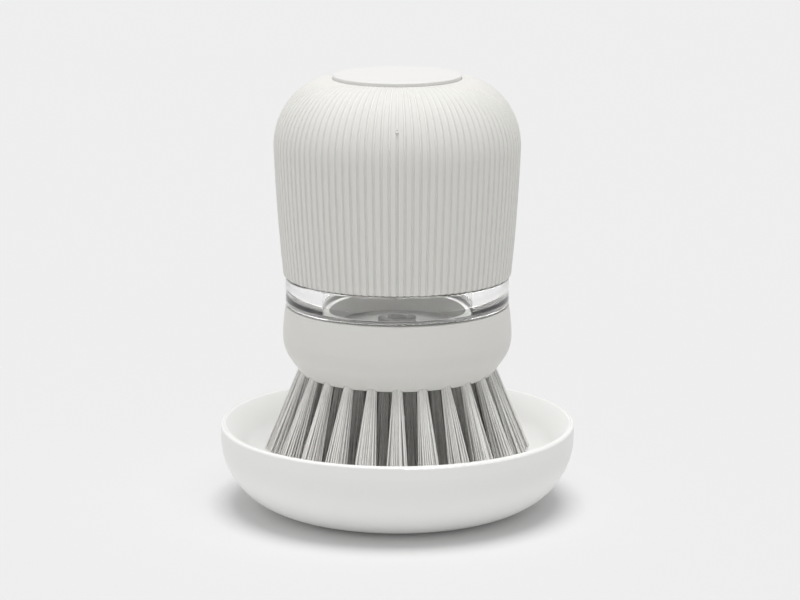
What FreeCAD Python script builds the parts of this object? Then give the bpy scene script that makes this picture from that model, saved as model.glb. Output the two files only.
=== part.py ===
import FreeCAD, Part
import math
import os

# A palm dish brush that gives out soap, standing in its drip tray.
# Lengths are millimetres and angles are degrees. The brush's axis is Z, and the table is z = 0.

Vector = FreeCAD.Vector
AXIS = Vector(0, 0, 1)
ORIGIN = Vector(0, 0, 0)
FULL_TURN = 360
QUARTER_WEIGHT = math.sqrt(0.5)   # makes a drawn curve a true quarter of a circle or ellipse

# Clearances that fits share, and the overrun of cuts
seam_gap = 0.3          # open seam round the body, above and below the clear band
slide_gap = 0.3         # round what slides or turns freely
seal_gap = 0.05         # between a seal and the wall that it runs on
seat_gap = 0.1          # between pieces that are pushed or bonded together
overrun = 2.0

# Drip tray
tray_radius = 49.6
tray_height = 23.7
tray_curve = 19.6       # radius of the rounded lower wall
tray_wall = 1.6
tray_floor = 2.4
tray_lip = 0.8          # wall at the lip, up to which the bore opens as a cone that seats the dish
tray_lip_rounding = 0.75
dish_floor_height = 15.6
dish_corner = 7.5
insert_floor = 1.4
insert_lip = 0.6
insert_lip_rounding = 0.55
foot_inner_radius = 22.0
foot_outer_radius = 26.0
foot_height = 1.4
foot_proud = 0.4
foot_rounding = 0.3

# Brush head
tuft_reach = 22.6       # height from the tips of the tufts to the head's underside
head_radius = 31.9
head_widest_height = 10.2   # of the widest place above the underside
head_corner = 10.6      # radius of the round below the widest place
head_slope = 36.0       # of the cone that the round leads into, from upright
head_lower_rounding = 0.6
head_height = 19.1
head_top_radius = 31.1
head_edge_rounding = 0.5
cup_collar = 1.6        # wall of the collar round the soap cup
collar_gap = 0.4        # between that collar and the bore that goes over it
cup_depth = 5.1
collar_below_top = 0.4
socket_depth = 9.2      # channel that takes the reservoir's neck
nozzle_flare = 1.2      # how much wider the nozzle is than the outlet
nozzle_height = 6.0

# Tufts: how many in each ring, where the ring leaves the head, and how far it leans outwards
tuft_rings = {
    "outer_tufts": {"count": 24, "radius": 26.4, "lean": 19.0},
    "second_tufts": {"count": 18, "radius": 20.1, "lean": 12.0},
    "third_tufts": {"count": 12, "radius": 13.7, "lean": 7.0},
    "inner_tufts": {"count": 6, "radius": 7.4, "lean": 3.0},
}
tuft_radius = 1.5
tuft_tip_radius = 3.4
tuft_hole_depth = 5.4
tip_clearance = 0.3     # of the tips above the dish
anchor_height = 1.5
anchor_thickness = 0.35

# Slit valve in the floor of the cup, and the ring that holds it
valve_bowl_radius = 3.0
valve_bowl_depth = 3.2
valve_wall = 0.7
valve_flange_reach = 1.3
valve_flange = 1.1
slit_width = 0.2
retainer_gap = 0.25     # between the valve's flange and the retainer's skirt
retainer_wall = 0.8
retainer_top = 1.3
retainer_mouth_radius = 2.8
retainer_skirt = 2.0
retainer_rounding = 0.3

# Clear reservoir
band_height = 7.7
band_radius = 31.1
band_rounding = 0.4
bore_radius = 21.0
neck_wall = 2.4
neck_below_band = 9.0
thread_room = 1.0       # between the neck and its socket, for the thread
tube_wall = 2.0
tube_height = 29.4
reservoir_top_wall = 2.0
air_hole_radius = 8.0
bore_rounding = 1.5
washer_thickness = 1.2  # of the neck seal, a flat washer under the band
washer_inset = 1.0      # of the washer's edge from the band's

# Dome grip: a stiff shell under a soft ribbed sleeve
grip_height = 54.67
grip_base_radius = 31.7
grip_radius = 34.1
grip_widest_height = 36.1   # of the widest place above the grip's lower edge
grip_side_bulge = 0.29
grip_edge_rounding = 0.6
rib_count = 100
groove_depth = 0.65
groove_end_depth = 0.15     # of a groove where it runs out at the button's hole
groove_share = 0.44     # of a rib's pitch that the groove beside it takes
groove_strips = 4       # flat across, side by side, that make up a groove
sleeve_wall = 1.6
sleeve_bond = 0.05
sleeve_lip_gap = 0.12   # between the sleeve's soft lip and the button
shell_wall = 2.0

# Button and air pump
button_radius = 17.75
button_hole_gap = 0.29
button_proud = 1.03
button_plate = 1.8
button_edge_rounding = 0.35
button_skirt = 9.0
button_skirt_wall = 1.6
button_flange = 1.6
button_flange_reach = 1.65
stem_radius = 3.0
stem_play = 0.3
boss_wall = 2.0
boss_height = 8.0
gasket_thickness = 0.6
gasket_width = 8.0
cap_plate = 2.0
cap_skirt = 6.6
cap_skirt_wall = 1.5
cap_rounding = 0.8
barrel_wall = 2.0
barrel_skirt_gap = 1.15     # between the barrel and the button's skirt, which comes down round it
barrel_height = 15.0
piston_height = 2.6
piston_lip = 0.6
piston_groove = 2.2
port_count = 4
port_radius = 0.8
port_circle_radius = 3.8
flap_radius = 5.2
flap_thickness = 0.8
flap_stem_radius = 1.0
flap_stem = 1.8

# Return spring
spring_radius = 7.2
spring_wire = 0.9
spring_turns = 5
spring_height = 9.4
spring_steps = 8        # measured points to each quarter turn
quarters = 4

# Heights of the pieces, built up from the table
tip_height = dish_floor_height + tip_clearance
head_bottom = tip_height + tuft_reach
head_top = head_bottom + head_height
cup_floor = head_top - collar_below_top - cup_depth
band_bottom = head_top + seam_gap
band_top = band_bottom + band_height
washer_top = band_bottom - seal_gap
washer_seat = washer_top - washer_thickness - seal_gap
reservoir_top = band_top + tube_height
grip_bottom = band_top + seam_gap
grip_top = grip_bottom + grip_height
grip_widest = grip_bottom + grip_widest_height
button_top = grip_top + button_proud
cap_bottom = reservoir_top + gasket_thickness
cap_top = cap_bottom + cap_plate
piston_bottom = cap_top + spring_height
piston_top = piston_bottom + piston_height

# Radii that fits share
button_hole_radius = button_radius + button_hole_gap
neck_radius = bore_radius + neck_wall
socket_radius = neck_radius + thread_room
tube_radius = bore_radius + tube_wall
washer_radius = band_radius - washer_inset
collar_radius = bore_radius - collar_gap
cup_radius = collar_radius - cup_collar
outlet_radius = valve_bowl_radius + slide_gap
nozzle_radius = outlet_radius + nozzle_flare
valve_flange_radius = valve_bowl_radius + valve_flange_reach
retainer_radius = valve_flange_radius + retainer_gap + retainer_wall
barrel_radius = button_radius - button_skirt_wall - barrel_skirt_gap - barrel_wall
shell_inset = sleeve_wall + sleeve_bond
tuft_hole_radius = tuft_radius + seal_gap


def at(r, z):
    """Point in the X-Z half plane that outlines are drawn in."""
    return Vector(r, 0, z)


def line(start, end):
    return Part.LineSegment(start, end).toShape()


def arc_about(centre, radius, first, last):
    """Arc in the X-Z plane from one angle to another, both counted from +X towards +Z."""
    angles = [math.radians(angle) for angle in (first, (first + last) / 2, last)]
    points = [centre + at(radius * math.cos(angle), radius * math.sin(angle)) for angle in angles]
    return Part.Arc(*points).toShape()


def rounded_outline(corners):
    """Closed outline through (r, z) or (r, z, rounding) corners."""
    points = [at(corner[0], corner[1]) for corner in corners]
    roundings = [corner[2] if len(corner) > 2 else 0 for corner in corners]
    arrive, leave, edges = [], [], []
    for index, point in enumerate(points):
        back = (points[index - 1] - point).normalize()
        ahead = (points[(index + 1) % len(points)] - point).normalize()
        half = back.getAngle(ahead) / 2
        reach = roundings[index] / math.tan(half)
        arrive.append(point + back * reach)
        leave.append(point + ahead * reach)
        if roundings[index]:
            inward = (back + ahead).normalize()
            middle = point + inward * (roundings[index] / math.sin(half) - roundings[index])
            edges.append(Part.Arc(arrive[-1], middle, leave[-1]).toShape())
    for index in range(len(points)):
        edges.append(line(leave[index - 1], arrive[index]))
    return Part.__sortEdges__(edges)


def turned(edges):
    """Solid of revolution about the brush's axis."""
    face = Part.Face(Part.Wire(edges))
    return face.revolve(ORIGIN, AXIS, FULL_TURN)


def turned_outline(*corners):
    return turned(rounded_outline(corners))


def ring_of(shape, count, start=0):
    """Copies of a shape, evenly spaced round the axis."""
    copies = []
    for index in range(count):
        copy = shape.copy()
        copy.rotate(ORIGIN, AXIS, start + index * FULL_TURN / count)
        copies.append(copy)
    return copies


def ports(bottom, top):
    """Round air ports from below one height to above another."""
    start = at(port_circle_radius, bottom - overrun)
    port = Part.makeCylinder(port_radius, top - bottom + overrun * 2, start)
    return ring_of(port, port_count)


def tray_bowl():
    bore = tray_radius - tray_wall
    mouth = tray_radius - tray_lip
    centre = at(tray_radius - tray_curve, foot_proud + tray_curve)
    lip_centre = at(tray_radius - tray_lip_rounding, tray_height - tray_lip_rounding)
    floor_top = foot_proud + tray_floor
    inner_curve = tray_curve - tray_wall
    floor_angle = -math.degrees(math.asin((centre.z - floor_top) / inner_curve))
    floor_edge = centre.x + inner_curve * math.cos(math.radians(floor_angle))
    bowl = turned([
        line(at(0, foot_proud), at(centre.x, foot_proud)),
        arc_about(centre, tray_curve, -90, 0),
        line(at(tray_radius, centre.z), at(tray_radius, lip_centre.z)),
        arc_about(lip_centre, tray_lip_rounding, 0, 90),
        line(at(lip_centre.x, tray_height), at(mouth, tray_height)),
        line(at(mouth, tray_height), at(bore, centre.z)),
        arc_about(centre, inner_curve, 0, floor_angle),
        line(at(floor_edge, floor_top), at(0, floor_top)),
        line(at(0, floor_top), at(0, foot_proud)),
    ])
    groove = turned_outline(
        (foot_inner_radius - seat_gap, -overrun),
        (foot_outer_radius + seat_gap, -overrun),
        (foot_outer_radius + seat_gap, foot_height),
        (foot_inner_radius - seat_gap, foot_height),
    )
    return bowl.cut(groove)


def tray_insert():
    """Shallow dish, wedged in the bowl's cone and flush with its lip."""
    slope = math.atan2(tray_wall - tray_lip, tray_height - foot_proud - tray_curve)
    wall_angle = math.degrees(slope)
    outer = tray_radius - tray_lip - seal_gap / math.cos(slope)
    inner = outer - insert_lip
    under = dish_floor_height - insert_floor
    under_corner = dish_corner + insert_floor

    def corner_centre(lip_radius, floor, corner):
        """Centre of the arc that leads from a floor into the sloping wall below a lip."""
        below_lip = tray_height - floor - corner
        return at(lip_radius - below_lip * math.tan(slope) - corner / math.cos(slope), floor + corner)

    def wall_end(centre, corner):
        return centre + at(corner * math.cos(slope), -corner * math.sin(slope))

    dish_centre = corner_centre(inner, dish_floor_height, dish_corner)
    under_centre = corner_centre(outer, under, under_corner)
    lip_reach = insert_lip_rounding / math.cos(slope) - insert_lip_rounding * math.tan(slope)
    lip_centre = at(inner + lip_reach, tray_height - insert_lip_rounding)
    lip_start = lip_centre + at(-insert_lip_rounding * math.cos(slope), insert_lip_rounding * math.sin(slope))
    return turned([
        line(at(0, dish_floor_height), at(dish_centre.x, dish_floor_height)),
        arc_about(dish_centre, dish_corner, -90, -wall_angle),
        line(wall_end(dish_centre, dish_corner), lip_start),
        arc_about(lip_centre, insert_lip_rounding, 180 - wall_angle, 90),
        line(at(lip_centre.x, tray_height), at(outer, tray_height)),
        line(at(outer, tray_height), wall_end(under_centre, under_corner)),
        arc_about(under_centre, under_corner, -wall_angle, -90),
        line(at(under_centre.x, under), at(0, under)),
        line(at(0, under), at(0, dish_floor_height)),
    ])


def foot_ring():
    return turned_outline(
        (foot_inner_radius, 0, foot_rounding),
        (foot_outer_radius, 0, foot_rounding),
        (foot_outer_radius, foot_height),
        (foot_inner_radius, foot_height),
    )


def leaning(shape, ring):
    """Put a shape drawn about Z, with z = 0 at the head's underside, where a ring's first tuft stands."""
    shape.rotate(ORIGIN, Vector(0, 1, 0), -ring["lean"])
    shape.translate(at(ring["radius"], head_bottom))
    return shape


def tuft_holes(ring):
    hole = Part.makeCylinder(tuft_hole_radius, tuft_hole_depth + overrun, at(0, -overrun))
    return ring_of(leaning(hole, ring), ring["count"])


def tufts(ring):
    """Flared tufts with straight roots in their holes, all trimmed level at the tips."""
    root_top = tuft_hole_depth - anchor_height - seat_gap
    length = tuft_reach / math.cos(math.radians(ring["lean"]))
    flare_share = (length + overrun) / length
    past_tip_radius = tuft_radius + (tuft_tip_radius - tuft_radius) * flare_share
    tuft = turned_outline(
        (0, root_top),
        (tuft_radius, root_top),
        (tuft_radius, 0),
        (past_tip_radius, -length - overrun),
        (0, -length - overrun),
    )
    leaning(tuft, ring)
    side = tray_radius * 2
    below = Part.makeBox(side, side, side, Vector(-side / 2, -side / 2, tip_height - side))
    return Part.Compound(ring_of(tuft.cut(below), ring["count"]))


def tuft_anchors():
    """Flat staples at the blind ends of the tuft holes."""
    anchors = []
    width = tuft_radius * 2
    corner = Vector(-anchor_thickness / 2, -width / 2, tuft_hole_depth - anchor_height)
    for ring in tuft_rings.values():
        anchor = Part.makeBox(anchor_thickness, width, anchor_height, corner)
        anchors += ring_of(leaning(anchor, ring), ring["count"])
    return Part.Compound(anchors)


def brush_head():
    slope = math.radians(head_slope)
    widest = head_bottom + head_widest_height
    corner_centre = at(head_radius - head_corner, widest)
    cone_way = at(math.cos(slope), -math.sin(slope))
    cone_top = corner_centre + cone_way * head_corner
    underside_radius = cone_top.x - (cone_top.z - head_bottom) * math.tan(slope)
    lower_reach = head_lower_rounding * math.tan((math.pi / 2 - slope) / 2)
    lower_centre = at(underside_radius - lower_reach, head_bottom + head_lower_rounding)
    cone_bottom = lower_centre + cone_way * head_lower_rounding
    edge_centre = at(head_top_radius - head_edge_rounding, head_top - head_edge_rounding)
    rise = edge_centre.z - widest
    taper = head_radius - head_top_radius
    side_radius = (rise ** 2 + taper ** 2) / (2 * taper)
    side_angle = math.degrees(math.asin(rise / side_radius))
    collar_top = head_top - collar_below_top
    socket_floor = head_top - socket_depth
    head = turned([
        line(at(outlet_radius, cup_floor), at(cup_radius, cup_floor)),
        line(at(cup_radius, cup_floor), at(cup_radius, collar_top)),
        line(at(cup_radius, collar_top), at(collar_radius, collar_top)),
        line(at(collar_radius, collar_top), at(collar_radius, socket_floor)),
        line(at(collar_radius, socket_floor), at(socket_radius, socket_floor)),
        line(at(socket_radius, socket_floor), at(socket_radius, washer_seat)),
        line(at(socket_radius, washer_seat), at(washer_radius + seat_gap, washer_seat)),
        line(at(washer_radius + seat_gap, washer_seat), at(washer_radius + seat_gap, head_top)),
        line(at(washer_radius + seat_gap, head_top), at(edge_centre.x, head_top)),
        arc_about(edge_centre, head_edge_rounding, 90, 0),
        arc_about(at(head_radius - side_radius, widest), side_radius, side_angle, 0),
        arc_about(corner_centre, head_corner, 0, -head_slope),
        line(cone_top, cone_bottom),
        arc_about(lower_centre, head_lower_rounding, -head_slope, -90),
        line(at(lower_centre.x, head_bottom), at(nozzle_radius, head_bottom)),
        line(at(nozzle_radius, head_bottom), at(outlet_radius, head_bottom + nozzle_height)),
        line(at(outlet_radius, head_bottom + nozzle_height), at(outlet_radius, cup_floor)),
    ])
    skirt_radius = retainer_radius - retainer_wall
    groove = turned_outline(
        (skirt_radius - seat_gap, cup_floor - retainer_skirt),
        (retainer_radius + seat_gap, cup_floor - retainer_skirt),
        (retainer_radius + seat_gap, cup_floor + overrun),
        (skirt_radius - seat_gap, cup_floor + overrun),
    )
    cuts = [groove]
    for ring in tuft_rings.values():
        cuts += tuft_holes(ring)
    return head.cut(cuts)


def slit_valve():
    """Soft bowl with crossed slits, hung by its flange in the outlet."""
    bowl_bottom = cup_floor - valve_bowl_depth
    flange_top = cup_floor + valve_flange
    valve = turned_outline(
        (0, bowl_bottom),
        (valve_bowl_radius, bowl_bottom, valve_wall),
        (valve_bowl_radius, cup_floor),
        (valve_flange_radius, cup_floor),
        (valve_flange_radius, flange_top),
        (valve_bowl_radius - valve_wall, flange_top),
        (valve_bowl_radius - valve_wall, bowl_bottom + valve_wall),
        (0, bowl_bottom + valve_wall),
    )
    length = valve_bowl_radius
    height = valve_wall + overrun
    corner = Vector(-length / 2, -slit_width / 2, bowl_bottom - overrun / 2)
    slit = Part.makeBox(length, slit_width, height, corner)
    crossed = slit.copy()
    crossed.rotate(ORIGIN, AXIS, FULL_TURN / 4)
    return valve.cut([slit, crossed])


def valve_retainer():
    flange_top = cup_floor + valve_flange
    top = flange_top + retainer_top
    skirt_bottom = cup_floor - retainer_skirt + seat_gap
    return turned_outline(
        (retainer_mouth_radius, flange_top),
        (retainer_radius - retainer_wall, flange_top),
        (retainer_radius - retainer_wall, skirt_bottom),
        (retainer_radius, skirt_bottom),
        (retainer_radius, top, retainer_rounding),
        (retainer_mouth_radius, top, retainer_rounding),
    )


def neck_seal():
    bottom = washer_seat + seal_gap
    return turned_outline(
        (socket_radius, bottom),
        (washer_radius, bottom),
        (washer_radius, washer_top),
        (socket_radius, washer_top),
    )


def reservoir():
    """Clear upturned cup: threaded neck below, flange that shows as a band, and a tube inside the dome."""
    neck_bottom = band_bottom - neck_below_band
    ceiling = reservoir_top - reservoir_top_wall
    return turned_outline(
        (bore_radius, neck_bottom),
        (neck_radius, neck_bottom, band_rounding),
        (neck_radius, band_bottom),
        (band_radius, band_bottom, band_rounding),
        (band_radius, band_top, band_rounding),
        (tube_radius, band_top),
        (tube_radius, reservoir_top),
        (air_hole_radius, reservoir_top),
        (air_hole_radius, ceiling),
        (bore_radius, ceiling, bore_rounding),
    )


def drawn_curve(start, pull, end, weight=1):
    """Curve from start to end that a third point, with a weight, draws towards itself."""
    curve = Part.BezierCurve()
    curve.setPoles([start, pull, end])
    curve.setWeight(2, weight)
    return curve.toShape()


def grip_foot(inset):
    """Quarter circle round the dome's lower edge."""
    top = at(grip_base_radius - inset, grip_bottom + grip_edge_rounding)
    start = at(top.x - grip_edge_rounding, grip_bottom)
    return drawn_curve(start, at(top.x, start.z), top, QUARTER_WEIGHT)


def grip_side(inset, base_rise=0):
    """Side of the dome, drawn in by an inset, from its lower edge up to its widest place."""
    low = at(grip_base_radius - inset, grip_bottom + base_rise)
    high = at(grip_radius - inset, grip_widest)
    return drawn_curve(low, (low + high) * 0.5 + at(grip_side_bulge * 2, 0), high)


def grip_shoulder(inset, end):
    """Quarter ellipse from the widest place in to a point on the edge of the button's hole."""
    start = at(grip_radius - inset, grip_widest)
    return drawn_curve(start, at(start.x, end.z), end, QUARTER_WEIGHT)


def dome_shell():
    outer = shell_inset
    inner = shell_inset + shell_wall
    hole_top = at(button_hole_radius, grip_top - outer)
    hole_bottom = at(button_hole_radius, grip_top - inner)
    return turned([
        line(at(grip_base_radius - outer, band_top), at(grip_base_radius - outer, grip_bottom)),
        grip_side(outer),
        grip_shoulder(outer, hole_top),
        line(hole_top, hole_bottom),
        grip_shoulder(inner, hole_bottom),
        grip_side(inner),
        line(at(grip_base_radius - inner, grip_bottom), at(grip_base_radius - inner, band_top)),
        line(at(grip_base_radius - inner, band_top), at(grip_base_radius - outer, band_top)),
    ])


def sleeve_profile(depth_share, angle):
    """Edges of the sleeve's outline at an angle, where its skin lies at a share of the groove's depth."""
    inset = groove_depth * depth_share
    lip = at(button_radius + sleeve_lip_gap, grip_top - groove_end_depth * depth_share)
    lining_end = at(button_hole_radius, grip_top - sleeve_wall)
    foot_start = at(grip_base_radius - inset - grip_edge_rounding, grip_bottom)
    edges = [
        grip_foot(inset),
        grip_side(inset, grip_edge_rounding),
        grip_shoulder(inset, lip),
        line(lip, lining_end),
        grip_shoulder(sleeve_wall, lining_end),
        grip_side(sleeve_wall),
        line(at(grip_base_radius - sleeve_wall, grip_bottom), foot_start),
    ]
    for edge in edges:
        edge.rotate(ORIGIN, AXIS, angle)
    return edges


def grip_sleeve():
    """One rib and the rounded groove beside it, repeated round the axis and sewn."""
    pitch = FULL_TURN / rib_count
    groove = pitch * groove_share
    profiles = []
    for index in range(groove_strips + 1):
        across_share = index / groove_strips * 2 - 1
        profiles.append(sleeve_profile(1 - across_share ** 2, across_share * groove / 2))
    strips = []
    for left, right in zip(profiles, profiles[1:]):
        strips += [Part.makeRuledSurface(*edges) for edges in zip(left, right)]
    strips += [edge.revolve(ORIGIN, AXIS, pitch - groove) for edge in profiles[-1]]
    faces = []
    for copy in ring_of(Part.Compound(strips), rib_count):
        faces += copy.Faces
    shell = Part.Shell(faces)
    shell.sewShape()
    return Part.Solid(shell)


def flap_valve(seat_height):
    """Soft mushroom: a flap under a seat, and a stem up through it."""
    return turned_outline(
        (0, seat_height - flap_thickness),
        (flap_radius, seat_height - flap_thickness, flap_thickness / 2),
        (flap_radius, seat_height),
        (flap_stem_radius, seat_height),
        (flap_stem_radius, seat_height + flap_stem),
        (0, seat_height + flap_stem),
    )


def outlet_valve():
    return flap_valve(cap_bottom)


def inlet_valve():
    return flap_valve(piston_bottom)


def cap_gasket():
    outer = bore_radius
    return turned_outline(
        (outer - gasket_width, reservoir_top),
        (outer, reservoir_top),
        (outer, cap_bottom),
        (outer - gasket_width, cap_bottom),
    )


def pump_cylinder():
    """Cap over the reservoir's tube, with the pump's barrel on top."""
    skirt_inner = tube_radius + seat_gap
    skirt_outer = skirt_inner + cap_skirt_wall
    stem_hole = flap_stem_radius + seal_gap
    barrel_top = cap_top + barrel_height
    cap = turned_outline(
        (stem_hole, cap_bottom),
        (skirt_inner, cap_bottom),
        (skirt_inner, cap_bottom - cap_skirt),
        (skirt_outer, cap_bottom - cap_skirt),
        (skirt_outer, cap_top, cap_rounding),
        (barrel_radius + barrel_wall, cap_top),
        (barrel_radius + barrel_wall, barrel_top),
        (barrel_radius, barrel_top),
        (barrel_radius, cap_top),
        (stem_hole, cap_top),
    )
    return cap.cut(ports(cap_bottom, cap_top))


def push_button():
    """Plate with a skirt, whose flange catches under the dome, and a boss for the piston's stem."""
    inner = button_radius - button_skirt_wall
    flange_radius = button_radius + button_flange_reach
    flange_top = grip_top - shell_inset - shell_wall - slide_gap
    flange_bottom = flange_top - button_flange
    plate_bottom = button_top - button_plate
    skirt_bottom = button_top - button_skirt
    socket = stem_radius + seat_gap
    boss_bottom = plate_bottom - boss_height
    return turned_outline(
        (0, button_top),
        (button_radius, button_top, button_edge_rounding),
        (button_radius, flange_top),
        (flange_radius, flange_top),
        (flange_radius, flange_bottom),
        (button_radius, flange_bottom),
        (button_radius, skirt_bottom),
        (inner, skirt_bottom),
        (inner, plate_bottom),
        (socket + boss_wall, plate_bottom),
        (socket + boss_wall, boss_bottom),
        (socket, boss_bottom),
        (socket, plate_bottom),
        (0, plate_bottom),
    )


def piston():
    outer = barrel_radius - slide_gap
    groove = outer - piston_groove
    stem_top = button_top - button_plate - stem_play
    stem_hole = flap_stem_radius + seal_gap
    hole_top = piston_bottom + flap_stem + seat_gap
    body = turned_outline(
        (stem_hole, piston_bottom),
        (outer, piston_bottom),
        (outer, piston_bottom + piston_lip),
        (groove, piston_bottom + piston_lip),
        (groove, piston_top - piston_lip),
        (outer, piston_top - piston_lip),
        (outer, piston_top),
        (stem_radius, piston_top),
        (stem_radius, stem_top),
        (0, stem_top),
        (0, hole_top),
        (stem_hole, hole_top),
    )
    return body.cut(ports(piston_bottom, piston_top))


def piston_seal():
    """Ring with a rounded outer lip in the piston's groove."""
    outer = barrel_radius - seal_gap
    groove = barrel_radius - slide_gap - piston_groove + seal_gap
    bottom = piston_bottom + piston_lip + seal_gap
    top = piston_top - piston_lip - seal_gap
    rounding = (top - bottom) / 3
    return turned_outline((groove, bottom), (outer, bottom, rounding), (outer, top, rounding), (groove, top))


def tangent_arc(start, corner, end):
    """Arc from start to end whose end tangents meet at the corner."""
    middle = (start + end) * 0.5
    to_corner = corner - middle
    half_chord = (end - start).Length / 2
    half_angle = math.atan2(to_corner.Length, half_chord) / 2
    return Part.Arc(start, middle + to_corner.normalize() * (half_chord * math.tan(half_angle)), end)


def biarc(start, start_way, end, end_way):
    """Two arcs that meet smoothly, between two points with given directions."""
    span = end - start
    ways = start_way + end_way
    bend = 2 * (1 - start_way.dot(end_way))
    along = span.dot(ways)
    reach = (math.sqrt(along ** 2 + bend * span.dot(span)) - along) / bend
    first = start + start_way * reach
    second = end - end_way * reach
    joint = (first + second) * 0.5
    return [tangent_arc(start, first, joint), tangent_arc(joint, second, end)]


def least_gap(arcs):
    """Smallest opening between one turn of the wire and the next, measured on points of its middle line."""
    points = []
    for curve in arcs:
        points += curve.toShape().discretize(spring_steps)[:-1]
    turn = len(points) // spring_turns
    skip = turn // 2
    pairs = ((a, b) for a in range(len(points)) for b in range(a + skip, len(points)))
    return min((points[a] - points[b]).Length for a, b in pairs) - spring_wire


def return_spring():
    """Wire coil along biarcs of a quarter turn."""
    low = cap_top + seal_gap + spring_wire / 2
    high = piston_bottom - seal_gap - spring_wire / 2
    count = spring_turns * quarters
    climb = (high - low) / count
    slope = math.atan2(climb, spring_radius * math.pi * 2 / quarters)
    points, ways = [], []
    for index in range(count + 1):
        angle = index * math.pi * 2 / quarters
        point = at(spring_radius, low + climb * index)
        points.append(FreeCAD.Rotation(AXIS, math.degrees(angle)).multVec(point))
        level = Vector(-math.sin(angle), math.cos(angle), 0)
        ways.append(level * math.cos(slope) + AXIS * math.sin(slope))
    arcs = []
    for index in range(count):
        arcs += biarc(points[index], ways[index], points[index + 1], ways[index + 1])
    print("return_spring: least gap between turns", round(least_gap(arcs), 2), "mm")
    path = Part.Wire([curve.toShape() for curve in arcs])
    section = Part.Wire(Part.makeCircle(spring_wire / 2, points[0], ways[0]))
    pipe = Part.BRepOffsetAPI.MakePipeShell(path)
    pipe.add(section)
    pipe.build()
    pipe.makeSolid()
    return pipe.shape()


def main():
    shapes = {name: tufts(ring) for name, ring in tuft_rings.items()}
    makers = [
        tray_bowl, tray_insert, foot_ring,
        brush_head, tuft_anchors, slit_valve, valve_retainer, neck_seal,
        reservoir, dome_shell, grip_sleeve,
        pump_cylinder, cap_gasket, outlet_valve,
        push_button, piston, piston_seal, inlet_valve, return_spring,
    ]
    for maker in makers:
        shapes[maker.__name__] = maker()
    os.makedirs("parts", exist_ok=True)
    for name, shape in shapes.items():
        shape.exportStep("parts/" + name + ".step")
        print(name, len(shape.Solids), "solids,", round(shape.Volume, 1), "mm3, valid", shape.isValid())


main()
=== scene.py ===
import bpy
import bmesh
import math
import random
from mathutils import Matrix, Vector


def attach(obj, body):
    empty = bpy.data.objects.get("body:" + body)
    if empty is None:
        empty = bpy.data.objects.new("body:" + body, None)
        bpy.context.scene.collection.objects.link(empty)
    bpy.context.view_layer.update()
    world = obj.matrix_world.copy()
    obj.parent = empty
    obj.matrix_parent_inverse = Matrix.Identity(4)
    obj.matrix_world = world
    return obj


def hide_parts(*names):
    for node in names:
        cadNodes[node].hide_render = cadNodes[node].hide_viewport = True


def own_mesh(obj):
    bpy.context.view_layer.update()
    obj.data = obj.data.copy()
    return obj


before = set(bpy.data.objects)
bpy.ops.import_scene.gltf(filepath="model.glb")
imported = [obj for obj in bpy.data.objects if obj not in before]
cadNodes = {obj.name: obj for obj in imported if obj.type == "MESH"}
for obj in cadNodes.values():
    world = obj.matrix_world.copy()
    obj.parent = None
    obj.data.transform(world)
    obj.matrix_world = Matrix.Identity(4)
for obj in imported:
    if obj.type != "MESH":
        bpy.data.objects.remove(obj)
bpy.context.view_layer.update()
mm = 0.001
print("frame loaded:", len(cadNodes), "nodes")


def linear(hexColour):
    # sRGB hex to the linear colour that shaders take
    channels = [int(hexColour[i:i + 2], 16) / 255 for i in (0, 2, 4)]
    return [c / 12.92 if c <= 0.04045 else ((c + 0.055) / 1.055) ** 2.4 for c in channels] + [1.0]


def perMm(size):
    # texture scale for a pattern whose grain is this many millimetres
    return 1 / (size * mm)


def addNode(tree, kind, settings=None, links=None):
    node = tree.nodes.new(kind)
    for key, value in (settings or {}).items():
        if isinstance(key, int) or key in node.inputs:
            node.inputs[key].default_value = value
        else:
            setattr(node, key, value)
    for key, socket in (links or {}).items():
        tree.links.new(socket, node.inputs[key])
    return node


def startMaterial(name, settings):
    # material with one principled shader, and the object's own coordinates for its patterns
    material = bpy.data.materials.new(name)
    material.use_nodes = True
    tree = material.node_tree
    tree.nodes.clear()
    shader = addNode(tree, "ShaderNodeBsdfPrincipled", settings)
    addNode(tree, "ShaderNodeOutputMaterial", links={"Surface": shader.outputs[0]})
    place = addNode(tree, "ShaderNodeTexCoord").outputs["Object"]
    return material, tree, shader, place


# noise that all moulded finishes share: how fine it goes, and the part of its range that is used for gloss
mouldNoise = {"cloudDetail": 3.0, "cloudRoughness": 0.55, "grainDetail": 2.0, "glossRange": (0.3, 0.7)}


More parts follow.
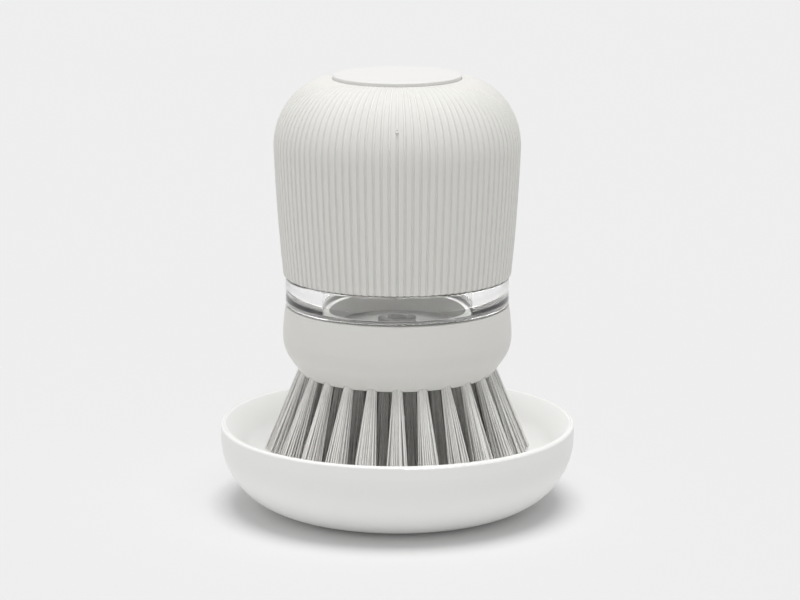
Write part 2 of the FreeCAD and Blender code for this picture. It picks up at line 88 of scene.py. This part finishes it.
def moulded(name, look):
    # moulded plastic or rubber, or drawn metal: faint cloudiness in the colour, fine grain, uneven gloss
    material, tree, shader, place = startMaterial(name, look.get("shader", {}))
    cloud = addNode(tree, "ShaderNodeTexNoise",
                    {"Scale": perMm(look["cloudMm"]), "Detail": mouldNoise["cloudDetail"],
                     "Roughness": mouldNoise["cloudRoughness"]}, {"Vector": place})
    tint = addNode(tree, "ShaderNodeMix",
                   {"data_type": "RGBA", 6: linear(look["dark"]), 7: linear(look["light"])},
                   {0: cloud.outputs[0]})
    grain = addNode(tree, "ShaderNodeTexNoise",
                    {"Scale": perMm(look["grainMm"]), "Detail": mouldNoise["grainDetail"]}, {"Vector": place})
    low, high = mouldNoise["glossRange"]
    gloss = addNode(tree, "ShaderNodeMapRange",
                    {"From Min": low, "From Max": high,
                     "To Min": look["roughness"][0], "To Max": look["roughness"][1]},
                    {"Value": cloud.outputs[0]})
    bump = addNode(tree, "ShaderNodeBump",
                   {"Strength": look["bump"], "Distance": look["bumpMm"] * mm}, {"Height": grain.outputs[0]})
    if "grooves" in look:
        # painted light in the grooves: a lighter colour that lifts their shade; the grooves stand evenly round the
        # axis from +X
        halfPitch = math.pi / look["grooves"]["count"]
        spot = addNode(tree, "ShaderNodeSeparateXYZ", links={0: place})
        angle = addNode(tree, "ShaderNodeMath", {"operation": "ARCTAN2"},
                        {0: spot.outputs["Y"], 1: spot.outputs["X"]})
        off = addNode(tree, "ShaderNodeMath", {"operation": "PINGPONG", 1: halfPitch}, {0: angle.outputs[0]})
        paintedGrooveLight = addNode(tree, "ShaderNodeMapRange",
                       {"interpolation_type": "SMOOTHSTEP", "From Max": halfPitch * look["grooves"]["share"],
                        "To Min": 1.0, "To Max": 0.0}, {"Value": off.outputs[0]})
        tint = addNode(tree, "ShaderNodeMix", {"data_type": "RGBA", 7: linear(look["grooves"]["paintedGrooveLight"])},
                       {0: paintedGrooveLight.outputs[0], 6: tint.outputs[2]})
    tree.links.new(tint.outputs[2], shader.inputs["Base Color"])
    tree.links.new(gloss.outputs[0], shader.inputs["Roughness"])
    tree.links.new(bump.outputs[0], shader.inputs["Normal"])
    return material


# thermoplastic elastomer, over-moulded on the dome: soft and matte, with an eroded grain and hardly any shine
softTouchRubber = moulded("softTouchRubber", {
    "dark": "DBDAD6", "light": "E0DFDB", "cloudMm": 22, "grainMm": 0.35, "roughness": (0.58, 0.7),
    "bump": 0.12, "bumpMm": 0.05, "shader": {"IOR": 1.47, "Sheen Weight": 0.05, "Sheen Roughness": 0.6},
    # a lighter colour in the grooves, painted light that lifts their shade
    "grooves": {"count": 100, "share": 0.5, "paintedGrooveLight": "E5E4E0"},
})

# ABS from a fine satin mould: even light grey with a broad soft highlight
satinAbs = moulded("satinAbs", {
    "dark": "D9D8D4", "light": "DEDDD9", "cloudMm": 30, "grainMm": 0.3, "roughness": (0.4, 0.5),
    "bump": 0.06, "bumpMm": 0.03, "shader": {"IOR": 1.52},
})

# glass-filled ABS of the core under the skin, in a dark grey that is painted shade, which keeps the seam under the
# grip dark
paintedSeamShade = moulded("paintedSeamShade", {
    "dark": "7E7D7A", "light": "8A8986", "cloudMm": 12, "grainMm": 0.4, "roughness": (0.5, 0.6),
    "bump": 0.08, "bumpMm": 0.03, "shader": {"IOR": 1.52},
})

# the button is the satin ABS from a coarser mould face, so its highlight is broader still
buttonAbs = moulded("buttonAbs", {
    "dark": "DCDBD9", "light": "E0DFDD", "cloudMm": 18, "grainMm": 0.3, "roughness": (0.45, 0.55),
    "bump": 0.08, "bumpMm": 0.03, "shader": {"IOR": 1.52},
})

# polypropylene: smooth white with a half gloss that wanders a little where it cooled
whitePolypropylene = moulded("whitePolypropylene", {
    "dark": "EDEDEB", "light": "F2F2F0", "cloudMm": 40, "grainMm": 0.6, "roughness": (0.3, 0.37),
    "bump": 0.03, "bumpMm": 0.04, "shader": {"IOR": 1.49},
})

# polypropylene of the pump, plain and less polished
pumpPolypropylene = moulded("pumpPolypropylene", {
    "dark": "ECECEA", "light": "F2F2F0", "cloudMm": 15, "grainMm": 0.4, "roughness": (0.38, 0.48),
    "bump": 0.05, "bumpMm": 0.03, "shader": {"IOR": 1.49},
})

# cast silicone: dull grey, a little dusty
greySilicone = moulded("greySilicone", {
    "dark": "A3A29F", "light": "AFAEAB", "cloudMm": 6, "grainMm": 0.25, "roughness": (0.5, 0.62),
    "bump": 0.1, "bumpMm": 0.03, "shader": {"IOR": 1.42},
})

# nitrile rubber of the seals: dark and dull
sealRubber = moulded("sealRubber", {
    "dark": "565654", "light": "626260", "cloudMm": 5, "grainMm": 0.25, "roughness": (0.5, 0.6),
    "bump": 0.08, "bumpMm": 0.02, "shader": {"IOR": 1.5},
})

# pale silicone of the tray's foot: matte, and it holds a little dust
paleSilicone = moulded("paleSilicone", {
    "dark": "D2D1CE", "light": "DEDDDA", "cloudMm": 8, "grainMm": 0.3, "roughness": (0.6, 0.72),
    "bump": 0.12, "bumpMm": 0.03, "shader": {"IOR": 1.42},
})

# the same silicone where it is pressed against the clear flange, painted dark as the shade in the seam and under
# the flange, and with no shine of its own
paintedShadeSilicone = moulded("paintedShadeSilicone", {
    "dark": "8C8B88", "light": "989794", "cloudMm": 8, "grainMm": 0.3, "roughness": (0.3, 0.4),
    "bump": 0.06, "bumpMm": 0.02, "shader": {"Specular IOR Level": 0.0},
})

# brass staples, drawn flat: dull yellow metal
drawnBrass = moulded("drawnBrass", {
    "dark": "B08F4E", "light": "C6A664", "cloudMm": 2, "grainMm": 0.15, "roughness": (0.3, 0.42),
    "bump": 0.1, "bumpMm": 0.01, "shader": {"Metallic": 1.0},
})

# stainless spring wire: bright grey with faint drawing marks
springSteel = moulded("springSteel", {
    "dark": "B4B4B2", "light": "C9C9C7", "cloudMm": 1.5, "grainMm": 0.1, "roughness": (0.29, 0.36),
    "bump": 0.08, "bumpMm": 0.01, "shader": {"Metallic": 1.0},
})

# styrene acrylonitrile, polished: clear as glass, with a trace of flow in its gloss
styrene = {
    "flowMm": 9, "flowDetail": 2.0, "flowRange": (0.3, 0.7), "roughness": (0.01, 0.045),
    "shader": {"Base Color": linear("FEFEFE"), "IOR": 1.56, "Transmission Weight": 1.0},
}


def clearStyrene():
    material, tree, shader, place = startMaterial("clearStyrene", styrene["shader"])
    flow = addNode(tree, "ShaderNodeTexNoise",
                   {"Scale": perMm(styrene["flowMm"]), "Detail": styrene["flowDetail"]}, {"Vector": place})
    low, high = styrene["flowRange"]
    gloss = addNode(tree, "ShaderNodeMapRange",
                    {"From Min": low, "From Max": high,
                     "To Min": styrene["roughness"][0], "To Max": styrene["roughness"][1]},
                    {"Value": flow.outputs[0]})
    tree.links.new(gloss.outputs[0], shader.inputs["Roughness"])
    return material


# nylon monofilament: each strand has its own tone, with painted shade making the inner rings darker, and a drawn
# satin shine
filament = {
    "dark": "8C8A86", "light": "F0EFEC", "speckMm": 1.2, "speckDetail": 2.0, "speckShare": 0.25,
    "roughness": (0.38, 0.52), "shader": {"IOR": 1.53},
}


def nylonFilament():
    material, tree, shader, place = startMaterial("nylonFilament", filament["shader"])
    toneAndShade = addNode(tree, "ShaderNodeAttribute", {"attribute_name": "toneAndShade"})
    speck = addNode(tree, "ShaderNodeTexNoise",
                    {"Scale": perMm(filament["speckMm"]), "Detail": filament["speckDetail"]}, {"Vector": place})
    shift = addNode(tree, "ShaderNodeMath", {"operation": "MULTIPLY_ADD", 1: filament["speckShare"]},
                    {0: speck.outputs[0], 2: toneAndShade.outputs["Fac"]})
    tint = addNode(tree, "ShaderNodeMix",
                   {"data_type": "RGBA", 6: linear(filament["dark"]), 7: linear(filament["light"])},
                   {0: shift.outputs[0]})
    gloss = addNode(tree, "ShaderNodeMapRange",
                    {"To Min": filament["roughness"][0], "To Max": filament["roughness"][1]},
                    {"Value": speck.outputs[0]})
    tree.links.new(tint.outputs[2], shader.inputs["Base Color"])
    tree.links.new(gloss.outputs[0], shader.inputs["Roughness"])
    return material


clearPlastic = clearStyrene()
nylon = nylonFilament()

nodeFinishes = {
    "tray_bowl": whitePolypropylene, "foot_ring": paleSilicone,
    "brush_head": satinAbs, "tuft_anchors": drawnBrass,
    "slit_valve": greySilicone, "valve_retainer": greySilicone,
    "reservoir": clearPlastic, "dome_shell": paintedSeamShade, "grip_sleeve": softTouchRubber,
    "pump_cylinder": pumpPolypropylene, "cap_gasket": sealRubber, "outlet_valve": greySilicone,
    "push_button": buttonAbs, "piston": pumpPolypropylene,
    "piston_seal": sealRubber, "inlet_valve": greySilicone,
}
for nodeName, finish in nodeFinishes.items():
    cadNodes[nodeName].material_slots[0].material = finish
print("materials made:", len(bpy.data.materials))


def newPiece(name, bm, body, material, replaced=(), smoothAngle=40):
    # finish a bmesh that was drawn in millimetres as an object that rides on a body
    bmesh.ops.recalc_face_normals(bm, faces=bm.faces[:])
    bmesh.ops.scale(bm, vec=(mm, mm, mm), verts=bm.verts[:])
    for face in bm.faces:
        face.smooth = True
    mesh = bpy.data.meshes.new(name)
    bm.to_mesh(mesh)
    bm.free()
    mesh.set_sharp_from_angle(angle=math.radians(smoothAngle))
    mesh.materials.append(material)
    piece = bpy.data.objects.new(name, mesh)
    bpy.context.scene.collection.objects.link(piece)
    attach(piece, body)
    if replaced:
        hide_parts(*replaced)
    print("piece", name, len(mesh.polygons), "faces")
    return piece


def everything(bm):
    return bm.verts[:] + bm.edges[:] + bm.faces[:]


def spinRound(bm, geom, angle, steps, **options):
    # spin about the object's upright axis
    bmesh.ops.spin(bm, geom=geom, cent=(0, 0, 0), axis=(0, 0, 1), angle=angle, steps=steps, **options)


def repeatRound(bm, count):
    # copies of all that is drawn so far, evenly round the axis
    if count > 1:
        spinRound(bm, everything(bm), math.tau * (count - 1) / count, count - 1, use_duplicate=True)


def turnAbout(bm, verts, axis, angle):
    bmesh.ops.rotate(bm, cent=(0, 0, 0), matrix=Matrix.Rotation(angle, 3, axis), verts=verts)


def edgesOf(verts):
    return list({edge for vert in verts for edge in vert.link_edges})


def extrudeLoop(bm, loop):
    # a further ring of vertices on an open end, and the loop of edges between them
    grown = bmesh.ops.extrude_edge_only(bm, edges=loop)["geom"]
    fresh = [item for item in grown if isinstance(item, bmesh.types.BMVert)]
    known = set(fresh)
    return fresh, [item for item in grown if isinstance(item, bmesh.types.BMEdge) and known.issuperset(item.verts)]


bristles = {
    "strands": 42,            # in a tuft
    "strandRadius": 0.235,    # millimetres, as are all lengths here
    "strandSides": 6,
    "tuftRadius": 1.5,
    "crowding": 0.44,         # below a half puts more strands on the outside of the tuft
    "rootRise": 2.6,          # how far the strands go up into their hole
    "headUnderside": 38.5, "tipHeight": 15.9,
    "trim": 0.45,             # unevenness of the cut tips
    "wander": 0.16,
    "clumps": 4, "clumping": 0.2, "clumpShift": 0.3, "clumpReach": 0.6,
    "patterns": 6,            # differing tufts in a ring
    "seed": 23, "smooth": 70,
}
tuftRings = {
    "outer_tufts": {"count": 24, "radius": 26.4, "lean": 19.0, "tip": 3.85, "toneAndShadeRange": (0.58, 0.92)},
    # the inner rings' low tones are painted shade: darker strands where the tufts shade each other
    "second_tufts": {"count": 18, "radius": 20.1, "lean": 12.0, "tip": 2.2, "toneAndShadeRange": (0.12, 0.32)},
    "third_tufts": {"count": 12, "radius": 13.7, "lean": 7.0, "tip": 2.2, "toneAndShadeRange": (0.0, 0.12)},
    "inner_tufts": {"count": 6, "radius": 7.4, "lean": 3.0, "tip": 2.2, "toneAndShadeRange": (0.0, 0.12)},
}
goldenAngle = math.pi * (3 - math.sqrt(5))


def strandPlans(ring, dice):
    # root spot, tip spot and tone of each strand in one tuft, drawn upright about its own axis
    lean = math.radians(ring["lean"])
    reach = bristles["headUnderside"] - bristles["tipHeight"]
    inner = bristles["tuftRadius"] - bristles["strandRadius"]
    start = dice.uniform(0, math.tau)
    clumpSpots = []
    for index in range(bristles["clumps"]):
        shift = dice.uniform(-bristles["clumpShift"], bristles["clumpShift"])
        angle = start + math.tau * (index + shift) / bristles["clumps"]
        clumpSpots.append(Vector((math.cos(angle), math.sin(angle))) * inner * bristles["clumpReach"])
    plans = []
    for index in range(bristles["strands"]):
        radius = inner * ((index + 0.5) / bristles["strands"]) ** bristles["crowding"]
        angle = start + index * goldenAngle
        root = Vector((radius * math.cos(angle), radius * math.sin(angle)))
        nearest = min(clumpSpots, key=lambda spot: (spot - root).length)
        pulled = root.lerp(nearest, bristles["clumping"] * dice.random())
        tip = pulled * (ring["tip"] / bristles["tuftRadius"])
        tip += Vector((dice.gauss(0, bristles["wander"]), dice.gauss(0, bristles["wander"])))
        level = reach - bristles["trim"] * dice.random()
        length = (level + tip.x * math.sin(lean)) / math.cos(lean)
        plans.append({"toneAndShade": dice.uniform(*ring["toneAndShadeRange"]), "spots": (
            root.to_3d() + Vector((0, 0, bristles["rootRise"])),    # in the hole
            root.to_3d(),                                           # at its mouth
            tip.to_3d() - Vector((0, 0, length)))})
    return plans


def growTuft(bm, strandLayer, toneAndShadeLayer, ring, dice):
    # circles in the hole, extruded to its mouth and then on to the tips
    plans = strandPlans(ring, dice)
    made = []
    for index, plan in enumerate(plans):
        circle = bmesh.ops.create_circle(bm, cap_ends=False, segments=bristles["strandSides"],
                                         radius=bristles["strandRadius"],
                                         matrix=Matrix.Translation(plan["spots"][0]))["verts"]
        for vert in circle:
            vert[strandLayer] = index
            vert[toneAndShadeLayer] = plan["toneAndShade"]
        made += circle
    loop = edgesOf(made)
    for stop in (1, 2):
        fresh, loop = extrudeLoop(bm, loop)
        for vert in fresh:
            spots = plans[vert[strandLayer]]["spots"]
            vert.co += spots[stop] - spots[stop - 1]
        made += fresh
    bmesh.ops.holes_fill(bm, edges=loop, sides=bristles["strandSides"])
    turnAbout(bm, made, "Y", -math.radians(ring["lean"]))
    bmesh.ops.translate(bm, vec=(ring["radius"], 0, bristles["headUnderside"]), verts=made)
    return made


def ringOfTufts(name, ring, dice):
    bm = bmesh.new()
    strandLayer, toneAndShadeLayer = bm.verts.layers.int.new("strand"), bm.verts.layers.float.new("toneAndShade")
    for index in range(bristles["patterns"]):
        made = growTuft(bm, strandLayer, toneAndShadeLayer, ring, dice)
        turnAbout(bm, made, "Z", math.tau * index / ring["count"])
    repeatRound(bm, ring["count"] // bristles["patterns"])
    newPiece(name.replace("_tufts", "Bristles"), bm, "head", nylon, [name], bristles["smooth"])


for ringIndex, (ringName, ring) in enumerate(tuftRings.items()):
    ringOfTufts(ringName, ring, random.Random(bristles["seed"] + ringIndex))


# the return spring, which flattens as the button goes down; it is drawn here at rest, and its travel is listed but
# not used
coil = {"radius": 7.2, "wire": 0.45, "sides": 10, "turns": 5, "bottom": 97.6, "top": 107.0, "seat": 0.05,
        "steps": 36, "travel": 4.0, "smooth": 60}


def makeCoil():
    bm = bmesh.new()
    low = coil["bottom"] + coil["seat"] + coil["wire"]
    high = coil["top"] - coil["seat"] - coil["wire"]
    stand = Matrix.Translation((coil["radius"], 0, low)) @ Matrix.Rotation(math.pi / 2, 4, "X")
    bmesh.ops.create_circle(bm, cap_ends=True, segments=coil["sides"], radius=coil["wire"], matrix=stand)
    steps = coil["steps"] * coil["turns"]
    spinRound(bm, everything(bm), math.tau * coil["turns"], steps, dvec=(0, 0, (high - low) / steps))
    piece = newPiece("returnCoil", bm, "handle", springSteel, ["return_spring"], coil["smooth"])
    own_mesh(piece)


makeCoil()


# quick thread between the reservoir's neck and its socket
thread = {
    "starts": 4, "lead": 12.0, "ridge": 0.7, "base": 0.7, "tip": 0.32, "steps": 48, "smooth": 30,
    "neckRadius": 23.4, "socketRadius": 24.4, "bottom": 49.7, "top": 55.3, "bury": 0.15,
}


def makeThread(name, wall, crest, startAngle, body, material):
    # one trapezoid section, spun up the helix and repeated for each start
    bm = bmesh.new()
    low, high = thread["bottom"] + thread["base"], thread["top"] - thread["base"]
    corners = [(wall, -thread["base"]), (crest, -thread["tip"]), (crest, thread["tip"]), (wall, thread["base"])]
    bm.faces.new([bm.verts.new((radius, 0, low + height)) for radius, height in corners])
    spinRound(bm, everything(bm), math.tau * (high - low) / thread["lead"], thread["steps"],
              dvec=(0, 0, (high - low) / thread["steps"]))
    turnAbout(bm, bm.verts[:], "Z", startAngle)
    repeatRound(bm, thread["starts"])
    newPiece(name, bm, body, material, (), thread["smooth"])


makeThread("neckThread", thread["neckRadius"] - thread["bury"], thread["neckRadius"] + thread["ridge"],
           0, "handle", clearPlastic)
makeThread("socketThread", thread["socketRadius"] + thread["bury"], thread["socketRadius"] - thread["ridge"],
           math.pi / thread["starts"], "head", satinAbs)


turned = {"edgeSegments": 3, "weld": 0.0001}    # of every piece that is spun from an outline


def lathe(outline, edge, steps, rounded=None):
    # outline of (radius, height) points, with all corners or the named ones rounded, spun about the axis
    bm = bmesh.new()
    spots = [bm.verts.new((radius, 0, height)) for radius, height in outline]
    for before, after in zip(spots, spots[1:] + spots[:1]):
        if before.co.x > 0 or after.co.x > 0:    # an edge along the axis would leave stray faces
            bm.edges.new((before, after))
    corners = spots if rounded is None else [spots[index] for index in rounded]
    bmesh.ops.bevel(bm, geom=corners, affect="VERTICES", offset=edge, segments=turned["edgeSegments"],
                    profile=0.5, material=-1)
    spinRound(bm, everything(bm), math.tau, steps, use_merge=True)
    bmesh.ops.remove_doubles(bm, verts=bm.verts[:], dist=turned["weld"])
    return bm


# the neck's washer, squeezed by the flange so that it wets the clear plastic and bulges into the seam; its dark
# silicone paints the shade there
washer = {"bore": 24.4, "radius": 30.1, "bottom": 56.65, "top": 57.92,
          "bulge": 30.8, "seam": (57.62, 57.88), "edge": 0.1, "steps": 128}


def makeWasher():
    low, high = washer["seam"]
    outline = [(washer["bore"], washer["bottom"]), (washer["radius"], washer["bottom"]),
               (washer["radius"], low), (washer["bulge"], low), (washer["bulge"], high),
               (washer["radius"], washer["top"]), (washer["bore"], washer["top"])]
    bm = lathe(outline, washer["edge"], washer["steps"])
    newPiece("neckWasher", bm, "neck_seal", paintedShadeSilicone, ["neck_seal"])


makeWasher()


# inside of the tray: one smooth saucer from the floor under the bristles to a thin lip
dish = {"floor": 15.6, "floorRadius": 36.0, "sweep": 10.0, "slope": 45, "sweepSteps": 10, "wall": 1.4,
        "lip": (48.74, 23.7), "lipInside": 48.24, "lipFoot": (48.3, 21.78), "edge": 0.3, "steps": 160}


def sweepPoints(radius):
    # points up the arc between the floor and the sloping side
    middle = dish["floor"] + dish["sweep"]
    angles = [math.radians(dish["slope"]) * index / dish["sweepSteps"] for index in range(dish["sweepSteps"] + 1)]
    return [(dish["floorRadius"] + radius * math.sin(angle), middle - radius * math.cos(angle)) for angle in angles]


def makeDish():
    inside = [(0, dish["floor"])] + sweepPoints(dish["sweep"]) + [(dish["lipInside"], dish["lip"][1])]
    under = sweepPoints(dish["sweep"] + dish["wall"])[::-1] + [(0, dish["floor"] - dish["wall"])]
    bm = lathe(inside + [dish["lip"], dish["lipFoot"]] + under, dish["edge"], dish["steps"], [len(inside) - 1])
    newPiece("saucerDish", bm, "tray", whitePolypropylene, ["tray_insert"])


makeDish()


# line that the mould's halves leave down one groove at the front and one at the back
parting = {
    "width": 0.34, "sides": 8, "rise": 0.1,     # of the bead's middle above the groove's bed
    "low": (31.05, 66.5), "pull": (32.83, 84.25), "high": (33.45, 102.0), "sideSteps": 8,
    "shoulderReach": (15.58, 18.42), "shoulderSteps": 3, "shoulderEnd": 17.5, "smooth": 70,
}


def groovePoints():
    # points up the bed of a groove, first along the side's curve and then round the shoulder
    low, pull, high = (Vector(parting[key]) for key in ("low", "pull", "high"))
    points = []
    for index in range(parting["sideSteps"] + 1):
        share = index / parting["sideSteps"]
        points.append(low.lerp(pull, share).lerp(pull.lerp(high, share), share))
    wide, tall = parting["shoulderReach"]
    for index in range(1, parting["shoulderSteps"] + 1):
        angle = math.radians(parting["shoulderEnd"]) * index / parting["shoulderSteps"]
        points.append(high + Vector((wide * (math.cos(angle) - 1), tall * math.sin(angle))))
    return [Vector((0, -point.x - parting["rise"], point.y)) for point in points]


def makePartingLine():
    bm = bmesh.new()
    points = groovePoints()
    circle = bmesh.ops.create_circle(bm, cap_ends=True, segments=parting["sides"], radius=parting["width"] / 2,
                                     matrix=Matrix.Translation(points[0]))["verts"]
    loop = edgesOf(circle)
    for before, after in zip(points, points[1:]):
        fresh, loop = extrudeLoop(bm, loop)
        bmesh.ops.translate(bm, vec=after - before, verts=fresh)
    bmesh.ops.holes_fill(bm, edges=loop, sides=parting["sides"])
    repeatRound(bm, 2)
    newPiece("partingLine", bm, "handle", softTouchRubber, (), parting["smooth"])


makePartingLine()


# mark of the gate that the sleeve's rubber came in through, on the front of the shoulder
gate = {"radius": 0.6, "dimple": 0.22, "pin": 0.02, "depth": 0.3, "skirt": 0.5, "proud": 0.07, "bank": 0.1,
        "angle": 28.7, "centre": (17.87, 102.0), "reach": (16.23, 18.57), "edge": 0.04, "steps": 20}


def makeGateMark():
    floor, rim = gate["proud"] - gate["depth"], gate["proud"]
    outline = [(gate["pin"], floor), (gate["dimple"], floor), (gate["dimple"] + gate["bank"], rim),
               (gate["radius"] - gate["bank"], rim), (gate["radius"], 0),
               (gate["radius"], -gate["skirt"]), (gate["pin"], -gate["skirt"])]
    bm = lathe(outline, gate["edge"], gate["steps"])
    angle = math.radians(gate["angle"])
    wide, tall = gate["reach"]
    spot = (0, -gate["centre"][0] - wide * math.cos(angle), gate["centre"][1] + tall * math.sin(angle))
    upright = math.atan2(math.sin(angle) / tall, math.cos(angle) / wide)
    turnAbout(bm, bm.verts[:], "X", math.pi / 2 - upright)
    bmesh.ops.translate(bm, vec=spot, verts=bm.verts[:])
    newPiece("gateMark", bm, "handle", softTouchRubber)


makeGateMark()


backdrop = "EFEFEF"

# floor of plain paper, which runs back beyond the top of the picture
paper = {
    "half": 6.0, "dark": "DADADA", "light": "DBDBDB", "cloudMm": 300, "cloudDetail": 1.0,
    "shader": {"Roughness": 0.9, "Specular IOR Level": 0.0},
    "lift": 0.47,                                # share of the backdrop's own colour, which lifts the shadow
    "contactMm": 20, "contactSamples": 8,        # the lift fades where the tray is this near
}


def makeFloor():
    bm = bmesh.new()
    bmesh.ops.create_grid(bm, x_segments=1, y_segments=1, size=paper["half"])
    mesh = bpy.data.meshes.new("floor")
    bm.to_mesh(mesh)
    bm.free()
    floor = bpy.data.objects.new("floor", mesh)
    bpy.context.scene.collection.objects.link(floor)
    material, tree, shader, place = startMaterial("paperFloor", paper["shader"])
    cloud = addNode(tree, "ShaderNodeTexNoise",
                    {"Scale": perMm(paper["cloudMm"]), "Detail": paper["cloudDetail"]}, {"Vector": place})
    tint = addNode(tree, "ShaderNodeMix",
                   {"data_type": "RGBA", 6: linear(paper["dark"]), 7: linear(paper["light"])},
                   {0: cloud.outputs[0]})
    tree.links.new(tint.outputs[2], shader.inputs["Base Color"])
    near = addNode(tree, "ShaderNodeAmbientOcclusion",
                   {"samples": paper["contactSamples"], "Distance": paper["contactMm"] * mm})
    share = addNode(tree, "ShaderNodeMath", {"operation": "MULTIPLY", 1: paper["lift"]}, {0: near.outputs["AO"]})
    glow = addNode(tree, "ShaderNodeEmission", {"Color": linear(backdrop)})
    both = addNode(tree, "ShaderNodeMixShader",
                   links={0: share.outputs[0], 1: shader.outputs[0], 2: glow.outputs[0]})
    tree.links.new(both.outputs[0], tree.get_output_node("ALL").inputs["Surface"])
    mesh.materials.append(material)


# broad light nearly straight above
overhead = {"share": 0.88, "angle": 34, "tilt": (4, 2, 0), "place": (0, 0, 1)}


def makeKey():
    key = bpy.data.lights.new("overheadKey", "SUN")
    key.energy = overhead["share"] * math.pi
    key.angle = math.radians(overhead["angle"])
    lamp = bpy.data.objects.new("overheadKey", key)
    lamp.rotation_euler = [math.radians(tilt) for tilt in overhead["tilt"]]
    lamp.location = overhead["place"]
    bpy.context.scene.collection.objects.link(lamp)


# light from all round, brighter low down and to the left
sky = {"horizon": 0.83, "zenith": 0.2, "fade": (0.25, 0.65), "lean": 0.22}
# what clear plastic shows of the studio: the room, which darkens upwards, and then the softboxes
studio = {
    "room": (0.25, 1.3), "softboxes": (8.0, 25.0), "depth": (-0.5, 0.3),    # each at the front and at the back
    "roomFade": (0.02, 0.1), "roomDim": 0.16, "softboxFoot": (0.26, 0.34),
}


def makeWorld():
    world = bpy.data.worlds.new("studio")
    bpy.context.scene.world = world
    world.use_nodes = True
    tree = world.node_tree
    tree.nodes.clear()
    white = linear("FFFFFF")
    rays = addNode(tree, "ShaderNodeLightPath")
    ways = addNode(tree, "ShaderNodeTexCoord")
    way = addNode(tree, "ShaderNodeSeparateXYZ", links={0: ways.outputs["Generated"]})
    sink = addNode(tree, "ShaderNodeMapRange",
                   {"interpolation_type": "SMOOTHSTEP", "From Min": sky["fade"][0], "From Max": sky["fade"][1],
                    "To Min": sky["horizon"], "To Max": sky["zenith"]}, {"Value": way.outputs["Z"]})
    lean = addNode(tree, "ShaderNodeMath", {"operation": "MULTIPLY_ADD", 1: -sky["lean"], 2: 1.0},
                   {0: way.outputs["X"]})
    light = addNode(tree, "ShaderNodeMath", {"operation": "MULTIPLY"}, {0: sink.outputs[0], 1: lean.outputs[0]})
    around = addNode(tree, "ShaderNodeBackground", {"Color": white}, {"Strength": light.outputs[0]})
    front, back = studio["depth"]
    room, boxes = (addNode(tree, "ShaderNodeMapRange",
                           {"interpolation_type": "SMOOTHSTEP", "From Min": front, "From Max": back,
                            "To Min": studio[part][0], "To Max": studio[part][1]}, {"Value": way.outputs["Y"]})
                   for part in ("room", "softboxes"))
    foot, head = studio["roomFade"]
    dim = addNode(tree, "ShaderNodeMapRange",
                  {"interpolation_type": "SMOOTHSTEP", "From Min": foot, "From Max": head,
                   "To Min": 1.0, "To Max": studio["roomDim"]}, {"Value": way.outputs["Z"]})
    low = addNode(tree, "ShaderNodeMath", {"operation": "MULTIPLY"}, {0: room.outputs[0], 1: dim.outputs[0]})
    foot, head = studio["softboxFoot"]
    high = addNode(tree, "ShaderNodeMapRange",
                   {"interpolation_type": "SMOOTHSTEP", "From Min": foot, "From Max": head},
                   {"Value": way.outputs["Z"]})
    seen = addNode(tree, "ShaderNodeMix", {"data_type": "FLOAT"},
                   {0: high.outputs[0], 2: low.outputs[0], 3: boxes.outputs[0]})
    through = addNode(tree, "ShaderNodeBackground", {"Color": white}, {"Strength": seen.outputs[0]})
    shown = addNode(tree, "ShaderNodeBackground", {"Color": linear(backdrop), "Strength": 1.0})
    direct = addNode(tree, "ShaderNodeMath", {"operation": "MAXIMUM"},
                     {0: rays.outputs["Is Camera Ray"], 1: rays.outputs["Is Glossy Ray"]})
    both = addNode(tree, "ShaderNodeMixShader",
                   links={0: direct.outputs[0], 1: around.outputs[0], 2: shown.outputs[0]})
    every = addNode(tree, "ShaderNodeMixShader",
                    links={0: rays.outputs["Is Transmission Ray"], 1: both.outputs[0], 2: through.outputs[0]})
    addNode(tree, "ShaderNodeOutputWorld", links={"Surface": every.outputs[0]})


# fitted to the ellipses of the button, the seams and the tray's rim
photoCamera = {"lens": 129.5, "sensor": 36, "clip": (0.01, 50), "place": (0.00075, -0.7844, 0.2281), "dip": 12.215}


def makeCamera():
    lens = bpy.data.cameras.new("photoCamera")
    lens.lens = photoCamera["lens"]
    lens.sensor_width = photoCamera["sensor"]
    lens.clip_start, lens.clip_end = photoCamera["clip"]
    camera = bpy.data.objects.new("photoCamera", lens)
    camera.location = photoCamera["place"]
    camera.rotation_euler = (math.radians(90 - photoCamera["dip"]), 0, 0)
    bpy.context.scene.collection.objects.link(camera)
    bpy.context.scene.camera = camera


makeFloor()
makeKey()
makeWorld()
makeCamera()
bpy.context.scene.view_settings.view_transform = "Standard"
print("stage set")
